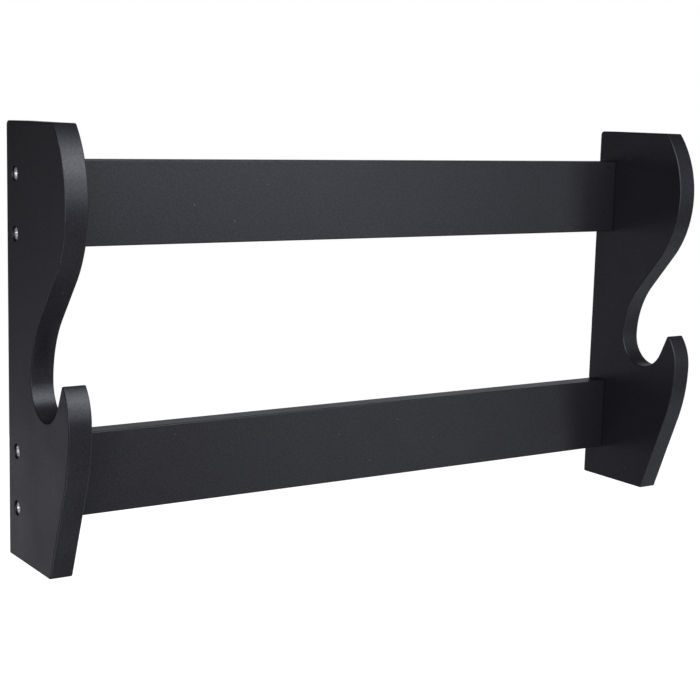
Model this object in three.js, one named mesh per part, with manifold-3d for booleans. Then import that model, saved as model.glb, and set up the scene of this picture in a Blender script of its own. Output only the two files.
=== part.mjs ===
// A one-tier wall rack for a cue: two side cheeks with a cup and a hook each, joined by two flat rails.
// Millimetres. X runs along the rack, -Y is the front, +Z is up. The wall is the plane Y = 0, and the
// origin is the point on the wall midway between the two screws that the rack hangs on.
import * as THREE from "three";
import { mergeVertices } from "three/addons/utils/BufferGeometryUtils.js";
import Module from "manifold-3d";

// Overall size and stock
const LENGTH = 508; // over the outer faces of the cheeks
const HEIGHT = 275.5; // of a cheek
const BOARD = 15; // thickness of every board
const GAP = 0.3; // clearance between pieces that meet

// Cheek outline. Depth is measured forward from the wall, height from the bottom of the cheek.
const BULGE = { depth: 17.8, height: 228.4, radius: 72.1 }; // arc of the head, bulging forward
const CUP = { depth: 58.7, height: 117.4, radius: 21.3 }; // arc that the cue lies in
const NECK_RADIUS = 61.5; // hollow arc between the bulge and the cup
const NOSE = { depth: 94.8, height: 99.3 }; // foremost point of the hook
const TIP = { depth: 85.1, height: 123.6 }; // where the hook's nose and lip would meet in a sharp point
const NOSE_LOWER_RADIUS = 117;
const LEG_LEAN = THREE.MathUtils.degToRad(20.55); // slope of the leg's straight front, from upright
const TIP_RADIUS = 1.1;
const TOP_FRONT_RADIUS = 2;
const TOP_BACK_RADIUS = 3;

// Rails
const RAIL_HEIGHT = 54.5;
const RAIL_SETBACK = 4; // from the wall to the back of a rail
const LOWER_RAIL_CENTRE = 51; // heights of the rails' middles
const UPPER_RAIL_CENTRE = 225;

// Assembly screws, through a cheek into a rail's end
const SCREW = { length: 40, shank: 4, head: 7.6, rim: 0.3, cone: 1.9, tip: 5 };
const SCREW_SPREAD = 18.4; // above and below a rail's middle
const SCREW_DEPTH = 13; // forward of the wall
const COUNTERBORE = 9.6; // diameter
const HEAD_RECESS = 1.2; // from the cheek's outer face to the top of the head
const SCREW_TURN = 1.1; // radians from one screw's cross to the next one's
const CROSS = { reach: 0.57, taper: 0.4, thinness: 0.25 }; // of the head's width, then of the blade's reach

// Keyhole hangers on the back of the upper rail
const HANGER_SPACING = 406.4; // between the two wall screws
const PLATE = { height: 42, width: 16, thickness: 1.6 };
const KEYHOLE = { entry: 9, slot: 4.6, drop: 11 }; // drop is from the slot's top to the entry's centre
const HANG_ABOVE_CENTRE = 6; // from the plate's middle up to the hanging screw
const POCKET = { width: 11, depth: 6 }; // room in the rail for the wall screw's head
const PLATE_SCREW = { length: 10, shank: 2.6, head: 5.2, rim: 0.1, cone: 1.3, tip: 3 };
const PLATE_SCREW_SPREAD = 16.5;

// Fineness of the round surfaces
const CHORD_ERROR = 0.06;
const ROUND_SEGMENTS = 20;
const OVERRUN = 1; // how far a cutter runs past the face that it cuts

const HANG_HEIGHT = UPPER_RAIL_CENTRE + HANG_ABOVE_CENTRE;
const CHEEK_CENTRE = (LENGTH - BOARD) / 2;
const RAIL_LENGTH = LENGTH - 2 * BOARD - 2 * GAP;

const paint = new THREE.MeshStandardMaterial({ color: 0x35363b, roughness: 0.5, metalness: 0 });
const zinc = new THREE.MeshStandardMaterial({ color: 0xd5d6d8, roughness: 0.3, metalness: 1 });
const steel = new THREE.MeshStandardMaterial({ color: 0xa9abae, roughness: 0.4, metalness: 1 });

const wasm = await Module();
wasm.setup();

// A closed three.js geometry as a solid that can be cut.
function solidOf(geometry) {
  const bare = geometry.index ? geometry.toNonIndexed() : geometry.clone();
  bare.deleteAttribute("normal");
  bare.deleteAttribute("uv");
  const merged = mergeVertices(bare, 1e-4);
  return new wasm.Manifold(
    new wasm.Mesh({
      numProp: 3,
      vertProperties: merged.attributes.position.array,
      triVerts: new Uint32Array(merged.index.array),
    }),
  );
}

function cut(solid, cutters) {
  return cutters.reduce((left, cutter) => left.subtract(cutter), solid);
}

function meshOf(name, solid, material) {
  const { vertProperties, triVerts } = solid.getMesh();
  const geometry = new THREE.BufferGeometry();
  geometry.setAttribute("position", new THREE.BufferAttribute(vertProperties, 3));
  geometry.setIndex(new THREE.BufferAttribute(triVerts, 1));
  geometry.computeVertexNormals();
  const mesh = new THREE.Mesh(geometry, material.clone());
  mesh.name = name;
  return mesh;
}

// Points of an arc, ends and middle included, in steps fine enough for CHORD_ERROR.
function arc(centreX, centreY, radius, start, end) {
  const widestStep = 2 * Math.acos(1 - CHORD_ERROR / radius);
  const steps = 2 * Math.ceil(Math.abs(end - start) / widestStep / 2);
  return Array.from({ length: steps + 1 }, (_, i) => {
    const angle = start + ((end - start) * i) / steps;
    return new THREE.Vector2(centreX + radius * Math.cos(angle), centreY + radius * Math.sin(angle));
  });
}

// Replaces the corner between two straight edges by an arc of the given radius.
function roundedCorner(before, corner, after, radius) {
  const back = before.clone().sub(corner).normalize();
  const ahead = after.clone().sub(corner).normalize();
  const halfAngle = Math.acos(back.dot(ahead)) / 2;
  const centre = back.clone().add(ahead).normalize().multiplyScalar(radius / Math.sin(halfAngle)).add(corner);
  const reach = radius / Math.tan(halfAngle);
  const start = back.multiplyScalar(reach).add(corner).sub(centre).angle();
  const end = ahead.multiplyScalar(reach).add(corner).sub(centre).angle();
  const turn = THREE.MathUtils.euclideanModulo(end - start + Math.PI, 2 * Math.PI) - Math.PI;
  return arc(centre.x, centre.y, radius, start, start + turn);
}

// One outline from several stretches, without the points that neighbours share.
function joined(...stretches) {
  const points = stretches.flat();
  return points.filter((point, i) => point.distanceTo(points.at(i - 1)) > 1e-3);
}

function cheekOutline() {
  const lowerNoseX = NOSE.depth - NOSE_LOWER_RADIUS;
  const lowerNose = arc(lowerNoseX, NOSE.height, NOSE_LOWER_RADIUS, -LEG_LEAN, 0);
  const legTop = lowerNose[0];
  const foot = new THREE.Vector2(legTop.x - legTop.y * Math.tan(LEG_LEAN), 0);

  // The upper nose is the arc that leaves the nose upright and ends at the tip.
  const back = NOSE.depth - TIP.depth;
  const rise = TIP.height - NOSE.height;
  const noseRadius = (back ** 2 + rise ** 2) / (2 * back);
  const tipAngle = Math.asin(rise / noseRadius);
  const upperNose = arc(NOSE.depth - noseRadius, NOSE.height, noseRadius, 0, tipAngle);

  // The lip is the straight line from the tip that touches the cup.
  const toTip = new THREE.Vector2(TIP.depth - CUP.depth, TIP.height - CUP.height);
  const lipAngle = Math.atan2(toTip.y, toTip.x) - Math.acos(CUP.radius / toTip.length());
  const cup = arc(CUP.depth, CUP.height, CUP.radius, lipAngle, -Math.PI);

  // The neck takes over from the cup where the cup's wall is upright, and runs into the bulge along the
  // straight line that touches both arcs.
  const neckX = CUP.depth - CUP.radius + NECK_RADIUS;
  const toNeck = new THREE.Vector2(neckX - BULGE.depth, CUP.height - BULGE.height);
  const touch =
    Math.atan2(toNeck.y, toNeck.x) + Math.acos((BULGE.radius + NECK_RADIUS) / toNeck.length());
  const neck = arc(neckX, CUP.height, NECK_RADIUS, Math.PI, Math.PI + touch);
  const topAngle = Math.asin((HEIGHT - BULGE.height) / BULGE.radius);
  const bulge = arc(BULGE.depth, BULGE.height, BULGE.radius, touch, topAngle);

  const tip = upperNose.pop();
  const topFront = bulge.pop();
  const topBack = new THREE.Vector2(0, HEIGHT);
  const bottomBack = new THREE.Vector2(0, 0);
  return joined(
    [bottomBack, foot],
    lowerNose,
    upperNose,
    roundedCorner(upperNose.at(-1), tip, cup[0], TIP_RADIUS),
    cup,
    neck,
    bulge,
    roundedCorner(bulge.at(-1), topFront, topBack, TOP_FRONT_RADIUS),
    roundedCorner(topFront, topBack, bottomBack, TOP_BACK_RADIUS),
  );
}

// A flat shape of the given thickness as a closed geometry.
function extruded(shape, depth) {
  return new THREE.ExtrudeGeometry(shape, { depth, bevelEnabled: false });
}

// A turned solid about the Y axis. The profile is [radius, height] pairs from the axis to the axis.
function turned(profile) {
  const points = profile.map(([radius, height]) => new THREE.Vector2(radius, height));
  return new THREE.LatheGeometry(points, ROUND_SEGMENTS);
}

// A cross-head countersunk screw along -Y, its head's flat top at the origin.
function screwSolid({ length, shank, head, rim, cone, tip }) {
  const body = turned([
    [0, -length],
    [shank / 2, tip - length],
    [shank / 2, -rim - cone],
    [head / 2, -rim],
    [head / 2, 0],
    [0, 0],
  ]);
  const corner = (CROSS.reach * head) / Math.SQRT2;
  const depth = rim + cone - GAP;
  const blade = new THREE.CylinderGeometry(corner, CROSS.taper * corner, depth + OVERRUN, 4)
    .rotateY(Math.PI / 4)
    .translate(0, (OVERRUN - depth) / 2, 0)
    .scale(1, 1, CROSS.thinness);
  const blades = [solidOf(blade), solidOf(blade.clone().rotateY(Math.PI / 2))];
  return cut(solidOf(body), blades);
}

// The room that a screw needs: a counterbore above its head, then its own shape with clearance.
function screwHole({ length, shank, head, rim, cone }, counterbore, above, site) {
  return solidOf(
    turned([
      [0, -length - OVERRUN],
      [shank / 2 + GAP, -length - OVERRUN],
      [shank / 2 + GAP, -rim - cone - GAP],
      [head / 2 + GAP, -rim - GAP],
      [head / 2 + GAP, 0],
      [counterbore / 2, 0],
      [counterbore / 2, above + OVERRUN],
      [0, above + OVERRUN],
    ]).applyMatrix4(site),
  );
}

// The assembly screws' places. A site's matrix takes a screw to its place in the rack.
const screwSites = [];
for (const [sideName, side] of [["left", -1], ["right", 1]])
  for (const [railName, railCentre] of [["upper", UPPER_RAIL_CENTRE], ["lower", LOWER_RAIL_CENTRE]])
    for (const [endName, end] of [["top", 1], ["bottom", -1]])
      screwSites.push({
        name: `${sideName}_${railName}_screw_${endName}`,
        side,
        railCentre,
        matrix: new THREE.Matrix4()
          .makeRotationZ((-side * Math.PI) / 2)
          .multiply(new THREE.Matrix4().makeRotationY(SCREW_TURN * screwSites.length))
          .setPosition(side * (LENGTH / 2 - HEAD_RECESS), -SCREW_DEPTH, railCentre + end * SCREW_SPREAD),
      });

// The hanger plates' places and those of their screws, which point forward into the rail.
const plateBackY = -RAIL_SETBACK + GAP + PLATE.thickness;
const hangers = [["left", -1], ["right", 1]].map(([name, side]) => ({
  name,
  x: (side * HANGER_SPACING) / 2,
  screws: [["top", 1], ["bottom", -1]].map(([endName, end]) => ({
    name: `${name}_hanger_screw_${endName}`,
    matrix: new THREE.Matrix4().makeTranslation(
      (side * HANGER_SPACING) / 2,
      plateBackY,
      UPPER_RAIL_CENTRE + end * PLATE_SCREW_SPREAD,
    ),
  })),
}));

// A side board. Its outline lies across the rack: depth goes to -Y and height to Z.
function cheek(side) {
  const acrossRack = new THREE.Matrix4().makeBasis(
    new THREE.Vector3(0, -1, 0),
    new THREE.Vector3(0, 0, 1),
    new THREE.Vector3(-1, 0, 0),
  );
  const board = extruded(new THREE.Shape(cheekOutline()), BOARD)
    .applyMatrix4(acrossRack)
    .translate(side * CHEEK_CENTRE + BOARD / 2, 0, 0);
  const holes = screwSites
    .filter((site) => site.side === side)
    .map(({ matrix }) => screwHole(SCREW, COUNTERBORE, HEAD_RECESS, matrix));
  return cut(solidOf(board), holes);
}

// A rail between the cheeks, bored at its ends.
function rail(railCentre) {
  const board = new THREE.BoxGeometry(RAIL_LENGTH, BOARD, RAIL_HEIGHT).translate(
    0,
    -RAIL_SETBACK - BOARD / 2,
    railCentre,
  );
  const holes = screwSites
    .filter((site) => site.railCentre === railCentre)
    .map(({ matrix }) => screwHole(SCREW, COUNTERBORE, HEAD_RECESS, matrix));
  return cut(solidOf(board), holes);
}

// The outline of a slot with round ends, upright, between two heights.
function uprightSlot(width, bottom, top) {
  return joined(
    arc(0, bottom, width / 2, -Math.PI, 0),
    arc(0, top, width / 2, 0, Math.PI),
  );
}

// A shape in the plate's plane, made thick towards the front from the given place behind the rail.
function platePiece(shape, thickness, x, y) {
  return solidOf(
    extruded(shape, thickness)
      .rotateX(Math.PI / 2)
      .translate(x, y, UPPER_RAIL_CENTRE),
  );
}

// The recess behind a keyhole, where the wall screw's head slides up.
function pocket({ x }) {
  const outline = uprightSlot(POCKET.width, HANG_ABOVE_CENTRE - KEYHOLE.drop, HANG_ABOVE_CENTRE);
  return platePiece(new THREE.Shape(outline), POCKET.depth + OVERRUN, x, OVERRUN - RAIL_SETBACK);
}

function plateScrewHoles({ screws }) {
  return screws.map(({ matrix }) => screwHole(PLATE_SCREW, PLATE_SCREW.head + 2 * GAP, 0, matrix));
}

// A keyhole: a round entry with a narrower slot that runs up out of it.
function keyholeOutline() {
  const entryHeight = HANG_ABOVE_CENTRE - KEYHOLE.drop;
  const mouth = Math.asin(KEYHOLE.slot / KEYHOLE.entry);
  return joined(
    arc(0, entryHeight, KEYHOLE.entry / 2, Math.PI / 2 + mouth, (5 * Math.PI) / 2 - mouth),
    arc(0, HANG_ABOVE_CENTRE, KEYHOLE.slot / 2, 0, Math.PI),
  );
}

function hangerPlate(hanger) {
  const straightEnd = (PLATE.height - PLATE.width) / 2;
  const shape = new THREE.Shape(uprightSlot(PLATE.width, -straightEnd, straightEnd));
  shape.holes.push(new THREE.Path(keyholeOutline()));
  return cut(platePiece(shape, PLATE.thickness, hanger.x, plateBackY), plateScrewHoles(hanger));
}

// Assembly
const rack = new THREE.Group();
rack.position.z = -HANG_HEIGHT;

rack.add(meshOf("left_cheek", cheek(-1), paint));
rack.add(meshOf("right_cheek", cheek(1), paint));

const upperRail = cut(rail(UPPER_RAIL_CENTRE), [
  ...hangers.map(pocket),
  ...hangers.flatMap(plateScrewHoles),
]);
rack.add(meshOf("upper_rail", upperRail, paint));
rack.add(meshOf("lower_rail", rail(LOWER_RAIL_CENTRE), paint));

function addScrew(name, screw, material, matrix) {
  const mesh = meshOf(name, screw, material);
  mesh.applyMatrix4(matrix);
  rack.add(mesh);
}

const assemblyScrew = screwSolid(SCREW);
screwSites.forEach(({ name, matrix }) => addScrew(name, assemblyScrew, zinc, matrix));

const plateScrew = screwSolid(PLATE_SCREW);
for (const hanger of hangers) {
  rack.add(meshOf(`${hanger.name}_hanger_plate`, hangerPlate(hanger), steel));
  hanger.screws.forEach(({ name, matrix }) => addScrew(name, plateScrew, steel, matrix));
}

const root = new THREE.Group();
root.add(rack);
export default root;
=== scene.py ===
import math

import bmesh
import bpy
from mathutils import Matrix, Vector
from mathutils.geometry import tessellate_polygon


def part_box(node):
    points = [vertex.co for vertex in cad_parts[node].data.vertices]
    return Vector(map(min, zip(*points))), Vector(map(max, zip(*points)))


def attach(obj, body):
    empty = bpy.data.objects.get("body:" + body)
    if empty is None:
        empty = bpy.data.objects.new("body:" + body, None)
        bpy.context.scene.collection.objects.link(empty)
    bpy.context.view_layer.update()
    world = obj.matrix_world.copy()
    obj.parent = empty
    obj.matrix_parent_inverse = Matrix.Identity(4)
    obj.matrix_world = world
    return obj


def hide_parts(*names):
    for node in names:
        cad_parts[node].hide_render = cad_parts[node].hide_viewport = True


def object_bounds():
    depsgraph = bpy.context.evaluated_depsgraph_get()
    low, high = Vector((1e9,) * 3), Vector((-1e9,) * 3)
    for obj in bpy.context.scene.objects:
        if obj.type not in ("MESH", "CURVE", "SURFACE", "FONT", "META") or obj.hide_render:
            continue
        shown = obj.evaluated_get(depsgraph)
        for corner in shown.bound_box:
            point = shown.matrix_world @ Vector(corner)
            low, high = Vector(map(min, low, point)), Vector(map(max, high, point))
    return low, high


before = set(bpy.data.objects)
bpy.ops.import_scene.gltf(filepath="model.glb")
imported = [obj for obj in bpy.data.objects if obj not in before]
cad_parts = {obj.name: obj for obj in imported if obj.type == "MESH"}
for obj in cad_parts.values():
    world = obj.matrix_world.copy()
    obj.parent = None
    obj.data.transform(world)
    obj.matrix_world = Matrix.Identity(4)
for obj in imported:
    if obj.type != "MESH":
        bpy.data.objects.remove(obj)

cad_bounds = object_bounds()
MM = 0.001
ROOT = "root"

# Cheek outline: depth is measured forward from the wall, height up from the bottom of the cheek.
BULGE = Vector((17.8, 228.4))
BULGE_RADIUS = 72.1
CUP = Vector((58.7, 117.4))
CUP_RADIUS = 21.3
NECK_RADIUS = 61.5
NOSE = Vector((94.8, 99.3))
TIP = Vector((85.1, 123.6))
NOSE_LOWER_RADIUS = 117
LEG_LEAN = math.radians(20.55)
TIP_RADIUS = 1.1
TOP_FRONT_RADIUS = 2
TOP_BACK_RADIUS = 3
BOTTOM_RADIUS = 1.2
CHEEK_HEIGHT = 275.5
BOARD = 15

# Boards
CHEEK_EASE = 0.8
RAIL_EASE = 0.8
RAIL_END_EASE = 0.3
HOLE_EASE = 0.25
EASE_STEPS = 4
CHORD_ERROR = 0.004  # how far a flat stretch may lie inside its arc
OVERRUN = 1  # how far a cutter reaches past the face that it opens
SHARP_ANGLE = math.radians(30)

# Screws: lengths along a screw are measured down from the flat top of its head.
SCREW = {
    "shank": 4.0, "core": 2.7, "head": 7.6, "rim": 0.3, "cone": 1.9,
    "length": 40.0, "plain": 13.0, "tip": 6.0, "pitch": 1.8,
}
PLATE_SCREW = {
    "shank": 2.6, "core": 1.8, "head": 5.2, "rim": 0.1, "cone": 1.3,
    "length": 10.0, "plain": 1.6, "tip": 3.0, "pitch": 1.1,
}
CROSS = {"reach": 0.285, "half_width": 0.07, "depth": 0.85}  # shares of the head's width and depth
SCREW_TURN = 1.1  # radians from one screw's cross to the next one's
SCREW_COLUMNS = 28
ROWS_PER_PITCH = 12
COUNTERBORE = 9.6
CLEARANCE = 0.3
PILOT_CLEARANCE = 0.05

# Keyhole hangers: heights are measured up from a plate's middle.
KEYHOLE_ENTRY = 9
KEYHOLE_SLOT = 4.6
KEYHOLE_DROP = 11
SLOT_HEIGHT = 6
ENTRY_HEIGHT = SLOT_HEIGHT - KEYHOLE_DROP
POCKET_WIDTH = 11
POCKET_DEPTH = 6
PLATE_EASE = 0.3


# ---------------------------------------------------------------- outlines

def arc(centre, radius, start, end):
    """Points of an arc, ends included, in steps fine enough for CHORD_ERROR."""
    widest_step = 2 * math.acos(1 - CHORD_ERROR / radius)
    steps = 2 * math.ceil(abs(end - start) / widest_step / 2)
    angles = [start + (end - start) * i / steps for i in range(steps + 1)]
    return [Vector((centre[0] + radius * math.cos(a), centre[1] + radius * math.sin(a))) for a in angles]


def angle_of(vector):
    return math.atan2(vector.y, vector.x)


def rounded_corner(before, corner, after, radius):
    """An arc in the place of the corner between two straight edges."""
    back = (before - corner).normalized()
    ahead = (after - corner).normalized()
    half_angle = back.angle(ahead) / 2
    centre = corner + (back + ahead).normalized() * radius / math.sin(half_angle)
    reach = radius / math.tan(half_angle)
    start = angle_of(corner + back * reach - centre)
    end = angle_of(corner + ahead * reach - centre)
    turn = (end - start + math.pi) % (2 * math.pi) - math.pi
    return arc(centre, radius, start, start + turn)


def joined(*stretches):
    """One closed outline from several stretches, without the points that neighbours share."""
    points = [point for stretch in stretches for point in stretch]
    return [point for i, point in enumerate(points) if (point - points[i - 1]).length > 1e-3]


def clear_of(stretch, corner, reach):
    """The points of a stretch that lie further than reach from a corner."""
    return [point for point in stretch if (point - corner).length > reach]


def grown(outline, amount):
    """An outline that runs anticlockwise, moved outwards along its own normals."""
    moved = []
    for i, point in enumerate(outline):
        ahead = (outline[(i + 1) % len(outline)] - point).normalized()
        behind = (point - outline[i - 1]).normalized()
        along = (ahead + behind).normalized()
        moved.append(point + Vector((along.y, -along.x)) * amount)
    return moved


def circle(centre, radius):
    return joined(arc(centre, radius, 0, 2 * math.pi))


def upright_slot(width, bottom, top):
    """A slot with round ends, between the heights of its two ends' centres."""
    return joined(
        arc((0, bottom), width / 2, -math.pi, 0),
        arc((0, top), width / 2, 0, math.pi),
    )


def rounded_rectangle(low, high, radius):
    corners = [Vector(low), Vector((high[0], low[1])), Vector(high), Vector((low[0], high[1]))]
    return joined(*[
        rounded_corner(corners[i - 1], corner, corners[(i + 1) % 4], radius)
        for i, corner in enumerate(corners)
    ])


def keyhole_outline():
    """A round entry with a narrower slot that runs up out of it, about the plate's middle."""
    mouth = math.asin(KEYHOLE_SLOT / KEYHOLE_ENTRY)
    return joined(
        arc((0, ENTRY_HEIGHT), KEYHOLE_ENTRY / 2, math.pi / 2 + mouth, 5 * math.pi / 2 - mouth),
        arc((0, SLOT_HEIGHT), KEYHOLE_SLOT / 2, 0, math.pi),
    )


def cheek_outline():
    """The side board's outline, anticlockwise from its bottom back corner, as (depth, height) points."""
    lower_nose = arc(NOSE - Vector((NOSE_LOWER_RADIUS, 0)), NOSE_LOWER_RADIUS, -LEG_LEAN, 0)
    leg_top = lower_nose[0]
    foot = Vector((leg_top.x - leg_top.y * math.tan(LEG_LEAN), 0))

    # The upper nose is the arc that leaves the nose upright and ends at the tip.
    back, rise = NOSE.x - TIP.x, TIP.y - NOSE.y
    nose_radius = (back ** 2 + rise ** 2) / (2 * back)
    upper_nose = arc(NOSE - Vector((nose_radius, 0)), nose_radius, 0, math.asin(rise / nose_radius))

    # The lip is the straight line from the tip that touches the cup.
    to_tip = TIP - CUP
    cup = arc(CUP, CUP_RADIUS, angle_of(to_tip) - math.acos(CUP_RADIUS / to_tip.length), -math.pi)

    # The neck takes over where the cup's wall is upright, and runs into the bulge along the straight
    # line that touches both arcs.
    neck_centre = CUP + Vector((NECK_RADIUS - CUP_RADIUS, 0))
    to_neck = neck_centre - BULGE
    touch = angle_of(to_neck) + math.acos((BULGE_RADIUS + NECK_RADIUS) / to_neck.length)
    neck = arc(neck_centre, NECK_RADIUS, math.pi, math.pi + touch)
    bulge = arc(BULGE, BULGE_RADIUS, touch, math.asin((CHEEK_HEIGHT - BULGE.y) / BULGE_RADIUS))

    top_front = bulge[-1]
    top_back = Vector((0, CHEEK_HEIGHT))
    bottom_back = Vector((0, 0))
    upper_nose = clear_of(upper_nose, TIP, 2 * TIP_RADIUS)
    bulge = clear_of(bulge, top_front, TOP_FRONT_RADIUS)
    return joined(
        rounded_corner(top_back, bottom_back, foot, BOTTOM_RADIUS),
        rounded_corner(bottom_back, foot, leg_top, BOTTOM_RADIUS),
        lower_nose,
        upper_nose,
        rounded_corner(upper_nose[-1], TIP, cup[0], TIP_RADIUS),
        cup,
        neck,
        bulge,
        rounded_corner(bulge[-1], top_front, top_back, TOP_FRONT_RADIUS),
        rounded_corner(top_front, top_back, bottom_back, TOP_BACK_RADIUS),
    )


# ---------------------------------------------------------------- solids

def face_outwards(mesh):
    """Turns the faces of a closed mesh outwards, from normals that fit its points as they are now."""
    mesh.normal_update()
    bmesh.ops.recalc_face_normals(mesh, faces=mesh.faces)


def bridge(mesh, first, second):
    """A band of faces between two rings of vertices."""
    for i in range(len(first)):
        mesh.faces.new((first[i - 1], first[i], second[i], second[i - 1]))


def cap(mesh, loops):
    """A flat face over the first ring, open where the other rings are."""
    verts = [vert for loop in loops for vert in loop]
    flat = [[Vector((vert.co.x, vert.co.y, 0)) for vert in loop] for loop in loops]
    for triangle in tessellate_polygon(flat):
        mesh.faces.new([verts[i] for i in triangle])


def ring_of(mesh, outline, depth):
    return [mesh.verts.new((point.x, point.y, depth)) for point in outline]


def eased(radius):
    """(inset, depth) pairs down a rounded edge, from the face to the side."""
    angles = [math.pi / 2 * i / EASE_STEPS for i in range(EASE_STEPS + 1)]
    return [(radius * (1 - math.sin(a)), radius * (1 - math.cos(a))) for a in angles]


def hole(outline, *steps, through=False):
    """A hole in a board, with an eased mouth at depth 0. Steps are (growth of the outline, depth) pairs."""
    mouth = eased(HOLE_EASE)
    return {"outline": outline, "steps": mouth + list(steps), "through": through}


def board_mesh(outline, thickness, ease, holes=()):
    """A flat board with eased edges. Its outline lies in XY, and it runs from Z 0, where the holes start,
    to its thickness."""
    mesh = bmesh.new()
    edge = eased(ease)
    other_edge = [(inset, thickness - depth) for inset, depth in reversed(edge)]
    rings = [ring_of(mesh, grown(outline, -inset), depth) for inset, depth in edge + other_edge]
    for first, second in zip(rings, rings[1:]):
        bridge(mesh, first, second)

    mouths, exits = [], []
    for opening in holes:
        shape, steps = opening["outline"], opening["steps"]
        walls = [ring_of(mesh, grown(shape, growth), depth) for growth, depth in steps]
        for first, second in zip(walls, walls[1:]):
            bridge(mesh, first, second)
        mouths.append(walls[0])
        if opening["through"]:
            exits.append(walls[-1])
        else:
            cap(mesh, [walls[-1]])
    cap(mesh, [rings[0], *mouths])
    cap(mesh, [rings[-1], *exits])
    face_outwards(mesh)
    return mesh


def turned_mesh(profile, radius_at=None):
    """A turned solid about Z from (radius, height) pairs, the first and last of them on the axis.
    radius_at(radius, height, angle) may change the radius round the turn, as a thread does."""
    mesh = bmesh.new()
    angles = [2 * math.pi * column / SCREW_COLUMNS for column in range(SCREW_COLUMNS)]
    rings = []
    for radius, height in profile[1:-1]:
        reaches = [radius_at(radius, height, angle) if radius_at else radius for angle in angles]
        outline = [Vector((r * math.cos(a), r * math.sin(a))) for r, a in zip(reaches, angles)]
        rings.append(ring_of(mesh, outline, height))
    for first, second in zip(rings, rings[1:]):
        bridge(mesh, first, second)
    for pole, ring in ((profile[0], rings[0]), (profile[-1], rings[-1])):
        centre = mesh.verts.new((0, 0, pole[1]))
        for i in range(len(ring)):
            mesh.faces.new((ring[i - 1], ring[i], centre))
    face_outwards(mesh)
    return mesh


def threaded_mesh(size):
    """A countersunk wood screw along -Z with a raised thread and a gimlet point."""
    core, outer, head = size["core"] / 2, size["shank"] / 2, size["head"] / 2
    length, pitch, plain = size["length"], size["pitch"], size["plain"]
    ridge_share = 0.52  # of the pitch
    run_in = 1.5 * pitch
    run_out = size["tip"] / 2
    fullness = 0.8  # below 1, the point is fuller than a cone

    def thread(radius, height, angle):
        below_plain = -plain - height
        if below_plain <= 0:
            return radius
        phase = (height / pitch - angle / (2 * math.pi)) % 1 - 0.5
        ridge = max(0, 1 - abs(phase) / (ridge_share / 2))
        above_point = height + length
        return radius + (outer - core) * ridge * min(1, below_plain / run_in, above_point / run_out)

    under_head = -size["rim"] - size["cone"]
    rim_ease = size["rim"] / 3
    profile = [(0, 0), (head - rim_ease, 0), (head, -rim_ease), (head, -size["rim"])]
    shoulder = core - outer - plain
    profile += [(outer, under_head), (outer, -plain), (core, shoulder)]
    rows = math.floor((length + shoulder) / pitch * ROWS_PER_PITCH)
    for row in range(1, rows):
        height = shoulder - row * pitch / ROWS_PER_PITCH
        taper = min(1, (height + length) / size["tip"])
        profile.append((core * taper ** fullness, height))
    profile.append((0, -length))
    return turned_mesh(profile, thread)


def cross_mesh(size):
    """The room in a cross recess: four tapering wings that end in a blunt point."""
    reach = CROSS["reach"] * size["head"]
    half_width = CROSS["half_width"] * size["head"]
    depth = CROSS["depth"] * (size["rim"] + size["cone"])
    # Each level's height, and what is left there of the wings' reach and width.
    levels = [(OVERRUN, 1, 1), (0, 1, 1), (-0.6 * depth, 0.7, 0.8), (-depth, 0.36, 0.6)]
    mesh = bmesh.new()
    rings = []
    for height, reach_scale, width_scale in levels:
        tip, width = reach * reach_scale, half_width * width_scale
        inner_corner = 1.25 * width
        wing = [Vector((tip, -width)), Vector((tip, width)), Vector((inner_corner, inner_corner))]
        outline = [Matrix.Rotation(quarter * math.pi / 2, 2) @ p for quarter in range(4) for p in wing]
        rings.append(ring_of(mesh, outline, height))
    for first, second in zip(rings, rings[1:]):
        bridge(mesh, first, second)
    mesh.faces.new(rings[0])
    mesh.faces.new(rings[-1])
    face_outwards(mesh)
    return mesh


def pilot_mesh(size):
    """The hole that a screw's thread makes, as a solid."""
    radius = size["shank"] / 2 + PILOT_CLEARANCE
    end = -size["length"]
    return turned_mesh([(0, 0), (radius, 0), (radius, end), (0, end - radius)])


# ---------------------------------------------------------------- pieces

def object_of(name, mesh, place, material):
    """An object from a bmesh in millimetres. Place takes it to the row frame, in metres."""
    mesh.transform(place @ Matrix.Scale(MM, 4))
    face_outwards(mesh)
    data = bpy.data.meshes.new(name)
    mesh.to_mesh(data)
    mesh.free()
    data.materials.append(material)
    made = bpy.data.objects.new(name, data)
    bpy.context.scene.collection.objects.link(made)
    return made


def apply_modifiers(made):
    depsgraph = bpy.context.evaluated_depsgraph_get()
    data = bpy.data.meshes.new_from_object(made.evaluated_get(depsgraph), depsgraph=depsgraph)
    made.modifiers.clear()
    made.data = data


def cut(made, cutter):
    """Takes a cutter's shape out of a piece. The cut faces keep the cutter's material."""
    boolean = made.modifiers.new("cut", "BOOLEAN")
    boolean.operation = "DIFFERENCE"
    boolean.solver = "EXACT"
    boolean.material_mode = "TRANSFER"
    boolean.object = cutter
    apply_modifiers(made)
    bpy.data.objects.remove(cutter)


def finish_piece(made, node):
    """Smooth shading that leaves flat faces flat, then the piece stands in for its CAD node."""
    made.data.shade_smooth()
    made.data.set_sharp_from_angle(angle=SHARP_ANGLE)
    weighted = made.modifiers.new("flat_faces", "WEIGHTED_NORMAL")
    weighted.keep_sharp = True
    apply_modifiers(made)
    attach(made, ROOT)
    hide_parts(node)


def across_rack(x, z, inward):
    """The place of a mesh whose x is depth from the wall and y is height. Its z runs along the rack."""
    return Matrix(((0, 0, inward, x), (-1, 0, 0, 0), (0, 1, 0, z), (0, 0, 0, 1)))


def facing_wall(x, y, z):
    """The place of a mesh whose x runs along the rack and y is height. Its z runs forward."""
    return Matrix(((1, 0, 0, x), (0, 0, -1, y), (0, 1, 0, z), (0, 0, 0, 1)))


def middle(node):
    low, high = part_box(node)
    return (low + high) / 2


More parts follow.
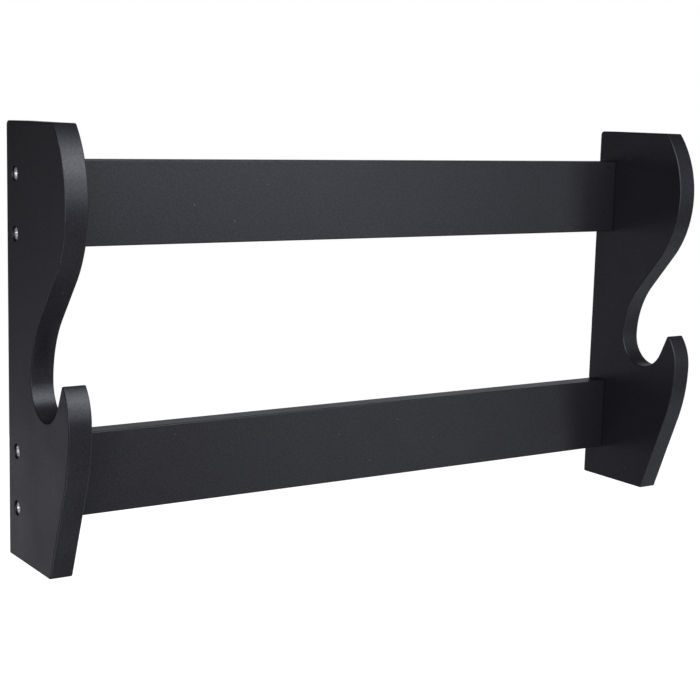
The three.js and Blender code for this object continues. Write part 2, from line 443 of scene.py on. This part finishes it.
SIDES = {"left": -1, "right": 1}
RAILS = ("upper", "lower")
ENDS = ("top", "bottom")
SCREW_NODES = [f"{side}_{rail}_screw_{end}" for side in SIDES for rail in RAILS for end in ENDS]
PLATE_SCREW_NODES = [f"{side}_hanger_screw_{end}" for side in SIDES for end in ENDS]


def screw_place(node):
    """The place of an assembly screw: head outwards, its cross turned on from the one before."""
    low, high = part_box(node)
    side = SIDES[node.split("_")[0]]
    head = middle(node)
    head.x = low.x if side < 0 else high.x
    turn = Matrix.Rotation(SCREW_TURN * SCREW_NODES.index(node), 4, "Z")
    return Matrix.Translation(head) @ Matrix.Rotation(side * math.pi / 2, 4, "Y") @ turn


def plate_screw_place(node):
    """The place of a hanger's screw: head towards the wall."""
    head = middle(node)
    head.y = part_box(node)[1].y
    turn = Matrix.Rotation(SCREW_TURN * PLATE_SCREW_NODES.index(node), 4, "Z")
    return Matrix.Translation(head) @ Matrix.Rotation(-math.pi / 2, 4, "X") @ turn


# ---------------------------------------------------------------- materials

NOISE_MIDDLE = (0.3, 0.7)


class Look:
    """A material on one Principled shader, with short ways to add texture. Sizes are in millimetres on
    the object, and a texture's value runs from 0 to 1."""

    def __init__(self, name, metallic=0.0):
        self.material = bpy.data.materials.new(name)
        self.material.use_nodes = True
        self.tree = self.material.node_tree
        self.shader = self.tree.nodes["Principled BSDF"]
        self.shader.inputs["Metallic"].default_value = metallic
        self.place = self.tree.nodes.new("ShaderNodeTexCoord").outputs["Object"]
        self.normal = None

    def node(self, kind, links, **values):
        """A node whose named inputs are linked or set."""
        made = self.tree.nodes.new(kind)
        for socket, source in links.items():
            self.tree.links.new(source, made.inputs[socket])
        for socket, value in values.items():
            made.inputs[socket.replace("_", " ").title()].default_value = value
        return made

    def noise(self, size, detail=2.0, stretch=(1, 1, 1)):
        """Cloudy texture with patches about as large as the size, longer where it is stretched."""
        shrink = [1 / share for share in stretch]
        mapping = self.node("ShaderNodeMapping", {"Vector": self.place}, scale=shrink)
        at = {"Vector": mapping.outputs["Vector"]}
        return self.node("ShaderNodeTexNoise", at, scale=1 / (size * MM), detail=detail).outputs["Fac"]

    def specks(self, spacing, radius):
        """Small round spots, scattered about as far apart as the spacing through the solid."""
        cells = self.node("ShaderNodeTexVoronoi", {"Vector": self.place}, scale=1 / (spacing * MM))
        share = radius / spacing
        return self.ramp(cells.outputs["Distance"], share, share / 2, 0, 1)

    def ramp(self, value, start, end, low, high):
        """Takes start..end to low..high, and holds it there beyond."""
        ramp = self.node(
            "ShaderNodeMapRange", {"Value": value}, from_min=start, from_max=end, to_min=low, to_max=high
        )
        return ramp.outputs["Result"]

    def spread(self, noise, low, high):
        """Takes the middle of a noise, where nearly all of it lies, to low..high."""
        return self.ramp(noise, *NOISE_MIDDLE, low, high)

    def blend(self, factor, first, second):
        """A colour between two, each of which is a colour or an output. A Mix node keeps the sockets of all
        its data types, and those of a colour come late."""
        mix = self.tree.nodes.new("ShaderNodeMix")
        mix.data_type = "RGBA"
        factor_socket, first_socket, second_socket = mix.inputs[0], mix.inputs[6], mix.inputs[7]
        self.tree.links.new(factor, factor_socket)
        for socket, colour in ((first_socket, first), (second_socket, second)):
            if isinstance(colour, bpy.types.NodeSocket):
                self.tree.links.new(colour, socket)
            else:
                socket.default_value = (*colour, 1)
        return mix.outputs[2]

    def drive(self, socket, source):
        """Lets a texture set one of the shader's values."""
        self.tree.links.new(source, self.shader.inputs[socket])

    def bump(self, height, depth):
        """Raises the surface by the height texture, up to the depth in millimetres."""
        bump = self.node("ShaderNodeBump", {"Height": height}, strength=1, distance=depth * MM)
        if self.normal:
            self.tree.links.new(self.normal, bump.inputs["Normal"])
        self.normal = bump.outputs["Normal"]
        self.drive("Normal", self.normal)


def black_paint():
    """Satin black paint over fibreboard: an uneven film with fine fibres under it and a little dust."""
    look = Look("black_paint")
    mottle = look.noise(1.2, detail=4)
    cloud = look.noise(28, detail=3)
    thick, thin, dust_grey = (0.0084, 0.0077, 0.0099), (0.0124, 0.0114, 0.0146), (0.24, 0.24, 0.23)
    film = look.blend(look.spread(mottle, 0, 1), thick, thin)
    dust = look.specks(spacing=13, radius=0.34)
    look.drive("Base Color", look.blend(dust, film, dust_grey))
    look.drive("Roughness", look.spread(cloud, 0.34, 0.39))
    look.drive("Specular IOR Level", look.spread(mottle, 0.41, 0.59))
    look.bump(look.noise(9), 0.03)
    look.bump(look.noise(0.9, detail=4), 0.018)
    return look.material


def bright_zinc():
    """The cheeks' screws: fresh zinc, a little cloudy."""
    look = Look("bright_zinc", metallic=1.0)
    cloud = look.noise(1.4, detail=3)
    look.drive("Base Color", look.blend(cloud, (0.88, 0.88, 0.89), (0.95, 0.95, 0.95)))
    look.drive("Roughness", look.spread(cloud, 0.38, 0.50))
    look.bump(look.noise(0.3), 0.004)
    return look.material


def dull_zinc():
    """The hangers and their screws: greyer zinc with scratches that run up and down."""
    look = Look("dull_zinc", metallic=1.0)
    cloud = look.noise(4, detail=4)
    scratches = look.noise(0.5, stretch=(1, 1, 14))
    look.drive("Base Color", look.blend(cloud, (0.50, 0.50, 0.49), (0.64, 0.64, 0.63)))
    look.drive("Roughness", look.spread(scratches, 0.34, 0.50))
    look.bump(scratches, 0.006)
    return look.material


def bare_fibreboard():
    """The board inside its holes and pockets, where the paint doesn't reach."""
    look = Look("bare_fibreboard")
    fibres = look.noise(0.7, detail=5)
    look.drive("Base Color", look.blend(fibres, (0.20, 0.13, 0.075), (0.36, 0.25, 0.15)))
    look.drive("Roughness", look.spread(fibres, 0.80, 0.95))
    look.bump(fibres, 0.08)
    return look.material


def pale_floor():
    """A floor that glows white. Its own colour is dim, so that the lights don't take it far past white."""
    look = Look("pale_floor")
    cloud = look.noise(60, detail=3)
    look.drive("Base Color", look.blend(cloud, (0.22, 0.22, 0.22), (0.26, 0.26, 0.26)))
    look.shader.inputs["Emission Color"].default_value = (1, 1, 1, 1)
    look.shader.inputs["Emission Strength"].default_value = FLOOR_GLOW
    return look.material


paint = black_paint()
fibreboard = bare_fibreboard()
screw_zinc = bright_zinc()
hanger_zinc = dull_zinc()


# ---------------------------------------------------------------- the rack

def screw_hole(node, board_low):
    """The hole in a cheek for one screw: a counterbore, a seat for the head's cone, and a way through."""
    centre = middle(node)
    at = Vector((-centre.y, centre.z - board_low.z)) / MM
    recess = (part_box("left_upper_screw_top")[0].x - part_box("left_cheek")[0].x) / MM
    seat = (SCREW["head"] - COUNTERBORE) / 2 + CLEARANCE
    way = (SCREW["shank"] - COUNTERBORE) / 2 + CLEARANCE
    cone_start = recess + SCREW["rim"] + CLEARANCE
    return hole(
        circle(at, COUNTERBORE / 2),
        (0, recess), (seat, recess), (seat, cone_start), (way, cone_start + SCREW["cone"]), (way, BOARD),
        through=True,
    )


def make_cheek(side_name, side):
    node = f"{side_name}_cheek"
    low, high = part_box(node)
    holes = [screw_hole(screw, low) for screw in SCREW_NODES if screw.startswith(side_name)]
    mesh = board_mesh(cheek_outline(), BOARD, CHEEK_EASE, holes)
    outer_x = low.x if side < 0 else high.x
    cheek = object_of(f"{side_name}_side_board", mesh, across_rack(outer_x, low.z, -side), paint)
    finish_piece(cheek, node)


def make_rail(rail_name):
    node = f"{rail_name}_rail"
    low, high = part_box(node)
    section = rounded_rectangle((-high.y / MM, 0), (-low.y / MM, (high.z - low.z) / MM), RAIL_EASE)
    mesh = board_mesh(section, (high.x - low.x) / MM, RAIL_END_EASE)
    rail = object_of(f"{rail_name}_cross_board", mesh, across_rack(low.x, low.z, 1), paint)
    for screw in SCREW_NODES:
        if rail_name in screw:
            cut(rail, object_of("pilot", pilot_mesh(SCREW), screw_place(screw), fibreboard))
    if rail_name == "upper":
        cut_hanger_room(rail, high.y)
    finish_piece(rail, node)


def cut_hanger_room(rail, back_y):
    """The pockets behind the keyholes, and the holes for the hangers' own screws."""
    for side_name in SIDES:
        centre = middle(f"{side_name}_hanger_plate")
        outline = upright_slot(POCKET_WIDTH, ENTRY_HEIGHT, SLOT_HEIGHT)
        mesh = board_mesh(outline, POCKET_DEPTH + OVERRUN, HOLE_EASE)
        place = facing_wall(centre.x, back_y + OVERRUN * MM, centre.z)
        cut(rail, object_of("pocket", mesh, place, fibreboard))
    for screw in PLATE_SCREW_NODES:
        cut(rail, object_of("pilot", pilot_mesh(PLATE_SCREW), plate_screw_place(screw), fibreboard))


def make_hanger(side_name):
    node = f"{side_name}_hanger_plate"
    low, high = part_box(node)
    width, thickness, height = (high - low) / MM
    straight_end = (height - width) / 2
    centre = middle(node)
    seat = PLATE_SCREW["head"] / 2 + CLEARANCE
    cone_start = PLATE_SCREW["rim"] + CLEARANCE
    way = cone_start - thickness  # the seat narrows at 45 degrees, as the head does
    holes = [hole(keyhole_outline(), (0, thickness), through=True)]
    for screw in PLATE_SCREW_NODES:
        if screw.startswith(side_name):
            at = Vector((0, (middle(screw).z - centre.z) / MM))
            holes.append(hole(circle(at, seat), (0, cone_start), (way, thickness), through=True))
    mesh = board_mesh(upright_slot(width, -straight_end, straight_end), thickness, PLATE_EASE, holes)
    place = facing_wall(centre.x, high.y, centre.z)
    plate = object_of(f"{side_name}_keyhole_plate", mesh, place, hanger_zinc)
    finish_piece(plate, node)


def make_screws(size, nodes, place_of, material):
    """The screws of one size. They share a shape, which is cut once."""
    pattern = object_of("pattern", threaded_mesh(size), Matrix.Scale(1 / MM, 4), material)
    cut(pattern, object_of("cross", cross_mesh(size), Matrix.Scale(1 / MM, 4), material))
    for node in nodes:
        mesh = bmesh.new()
        mesh.from_mesh(pattern.data)
        screw = object_of(node.replace("screw", "wood_screw"), mesh, place_of(node), material)
        finish_piece(screw, node)
    bpy.data.objects.remove(pattern)


for side_name, side in SIDES.items():
    make_cheek(side_name, side)
    make_hanger(side_name)
for rail_name in RAILS:
    make_rail(rail_name)
make_screws(SCREW, SCREW_NODES, screw_place, screw_zinc)
make_screws(PLATE_SCREW, PLATE_SCREW_NODES, plate_screw_place, hanger_zinc)


# ---------------------------------------------------------------- stage

FLOOR_DROP = 0.35  # from the rack's bottom
FLOOR_HALF_WIDTH = 6
FLOOR_GLOW = 0.99
AMBIENT = 0.02
LIGHT_COLOUR = (0.88, 0.92, 1.0)
BACK_LEFT_COLOUR = (0.91, 0.89, 1.0)  # of the lights that are both left of the rack and behind it

CAMERA_PLACE = Vector((-0.6049, -0.9117, 0.0576))
CAMERA_AZIMUTH = math.radians(-33.79)
CAMERA_DOWN = math.radians(8.985)
CAMERA_ROLL = math.radians(1.54)
CAMERA_LENS = 78.79  # mm, on a sensor 36 mm wide

# Each light's name, direction from the rack (degrees right of its front, and up), size (width, height) and
# brightness. A light faces the rack.
LIGHT_DISTANCE = 2.0
LIGHTS = [
    ("overhead", 0, 45, (2.3, 1.1), 3.25),
    ("front_right_tall", 23, 24, (0.85, 1.5), 2.8),
    ("front_right", 35, -6, (0.55, 1.4), 1.3),
    ("front_left", -36, 11, (0.6, 1.65), 7.0),
    ("left_low", -108, -31, (0.55, 0.65), 2.7),
    ("back_left", -136, -1, (0.45, 0.5), 0.9),
    ("back_left_mid", -145, -10, (0.4, 0.3), 0.45),
    ("back_left_low", -155, -19, (0.6, 0.4), 0.65),
    ("back_right", 136, 14, (2.3, 0.85), 0.45),
    ("behind", 170, -16, (1.2, 0.6), 2.0),
    ("left", -90, 4, (1.2, 1.0), 0.6),
    ("right", 90, 4, (1.2, 1.0), 0.7),
    ("right_low", 117, -20, (1.55, 0.5), 1.6),
    ("right_front_low", 60, -28, (0.4, 0.4), 1.0),
    ("right_below", 75, -42, (0.9, 0.7), 0.6),
    ("below_right", 85, -58, (0.5, 0.5), 2.2),
    ("below_front", -10, -47, (0.5, 0.95), 6.1),
]


def make_floor():
    """A floor that is only seen. The low lights stand in for what it would throw back."""
    mesh = bmesh.new()
    bmesh.ops.create_grid(mesh, x_segments=1, y_segments=1, size=FLOOR_HALF_WIDTH)
    data = bpy.data.meshes.new("floor")
    mesh.to_mesh(data)
    mesh.free()
    floor = bpy.data.objects.new("floor", data)
    floor.location.z = cad_bounds[0].z - FLOOR_DROP
    floor.visible_diffuse = False
    floor.visible_glossy = False
    floor.visible_shadow = False
    data.materials.append(pale_floor())
    bpy.context.scene.collection.objects.link(floor)


def make_surround(brightness):
    """White to the camera, and dim for the light that it gives."""
    world = bpy.data.worlds.new("surround")
    world.use_nodes = True
    bpy.context.scene.world = world
    tree = world.node_tree
    dim = tree.nodes["Background"]
    dim.inputs["Color"].default_value = (1, 1, 1, 1)
    dim.inputs["Strength"].default_value = brightness
    white = tree.nodes.new("ShaderNodeBackground")
    white.inputs["Color"].default_value = (1, 1, 1, 1)
    ray = tree.nodes.new("ShaderNodeLightPath")
    mix = tree.nodes.new("ShaderNodeMixShader")
    tree.links.new(ray.outputs["Is Camera Ray"], mix.inputs[0])
    tree.links.new(dim.outputs["Background"], mix.inputs[1])
    tree.links.new(white.outputs["Background"], mix.inputs[2])
    tree.links.new(mix.outputs["Shader"], tree.nodes["World Output"].inputs["Surface"])


def make_light(name, azimuth, elevation, size, brightness):
    """A panel of light. Its power is what an evenly bright face of its size sends out."""
    across, up = math.radians(azimuth), math.radians(elevation)
    direction = Vector((math.sin(across) * math.cos(up), -math.cos(across) * math.cos(up), math.sin(up)))
    data = bpy.data.lights.new(name, "AREA")
    data.shape = "RECTANGLE"
    data.size, data.size_y = size
    data.color = BACK_LEFT_COLOUR if azimuth < -90 else LIGHT_COLOUR
    data.energy = brightness * math.pi * data.size * data.size_y
    light = bpy.data.objects.new(name, data)
    light.location = (cad_bounds[0] + cad_bounds[1]) / 2 + direction * LIGHT_DISTANCE
    light.rotation_euler = direction.to_track_quat("Z", "Y").to_euler()
    light.visible_camera = False
    bpy.context.scene.collection.objects.link(light)


def make_camera():
    data = bpy.data.cameras.new("camera")
    data.lens = CAMERA_LENS
    camera = bpy.data.objects.new("camera", data)
    turn = Matrix.Rotation(CAMERA_AZIMUTH, 4, "Z")
    tilt = Matrix.Rotation(math.pi / 2 - CAMERA_DOWN, 4, "X")
    roll = Matrix.Rotation(CAMERA_ROLL, 4, "Z")
    camera.matrix_world = Matrix.Translation(CAMERA_PLACE) @ turn @ tilt @ roll
    bpy.context.scene.collection.objects.link(camera)
    bpy.context.scene.camera = camera


make_floor()
make_surround(AMBIENT)
for light in LIGHTS:
    make_light(*light)
make_camera()
bpy.context.scene.view_settings.view_transform = "Standard"
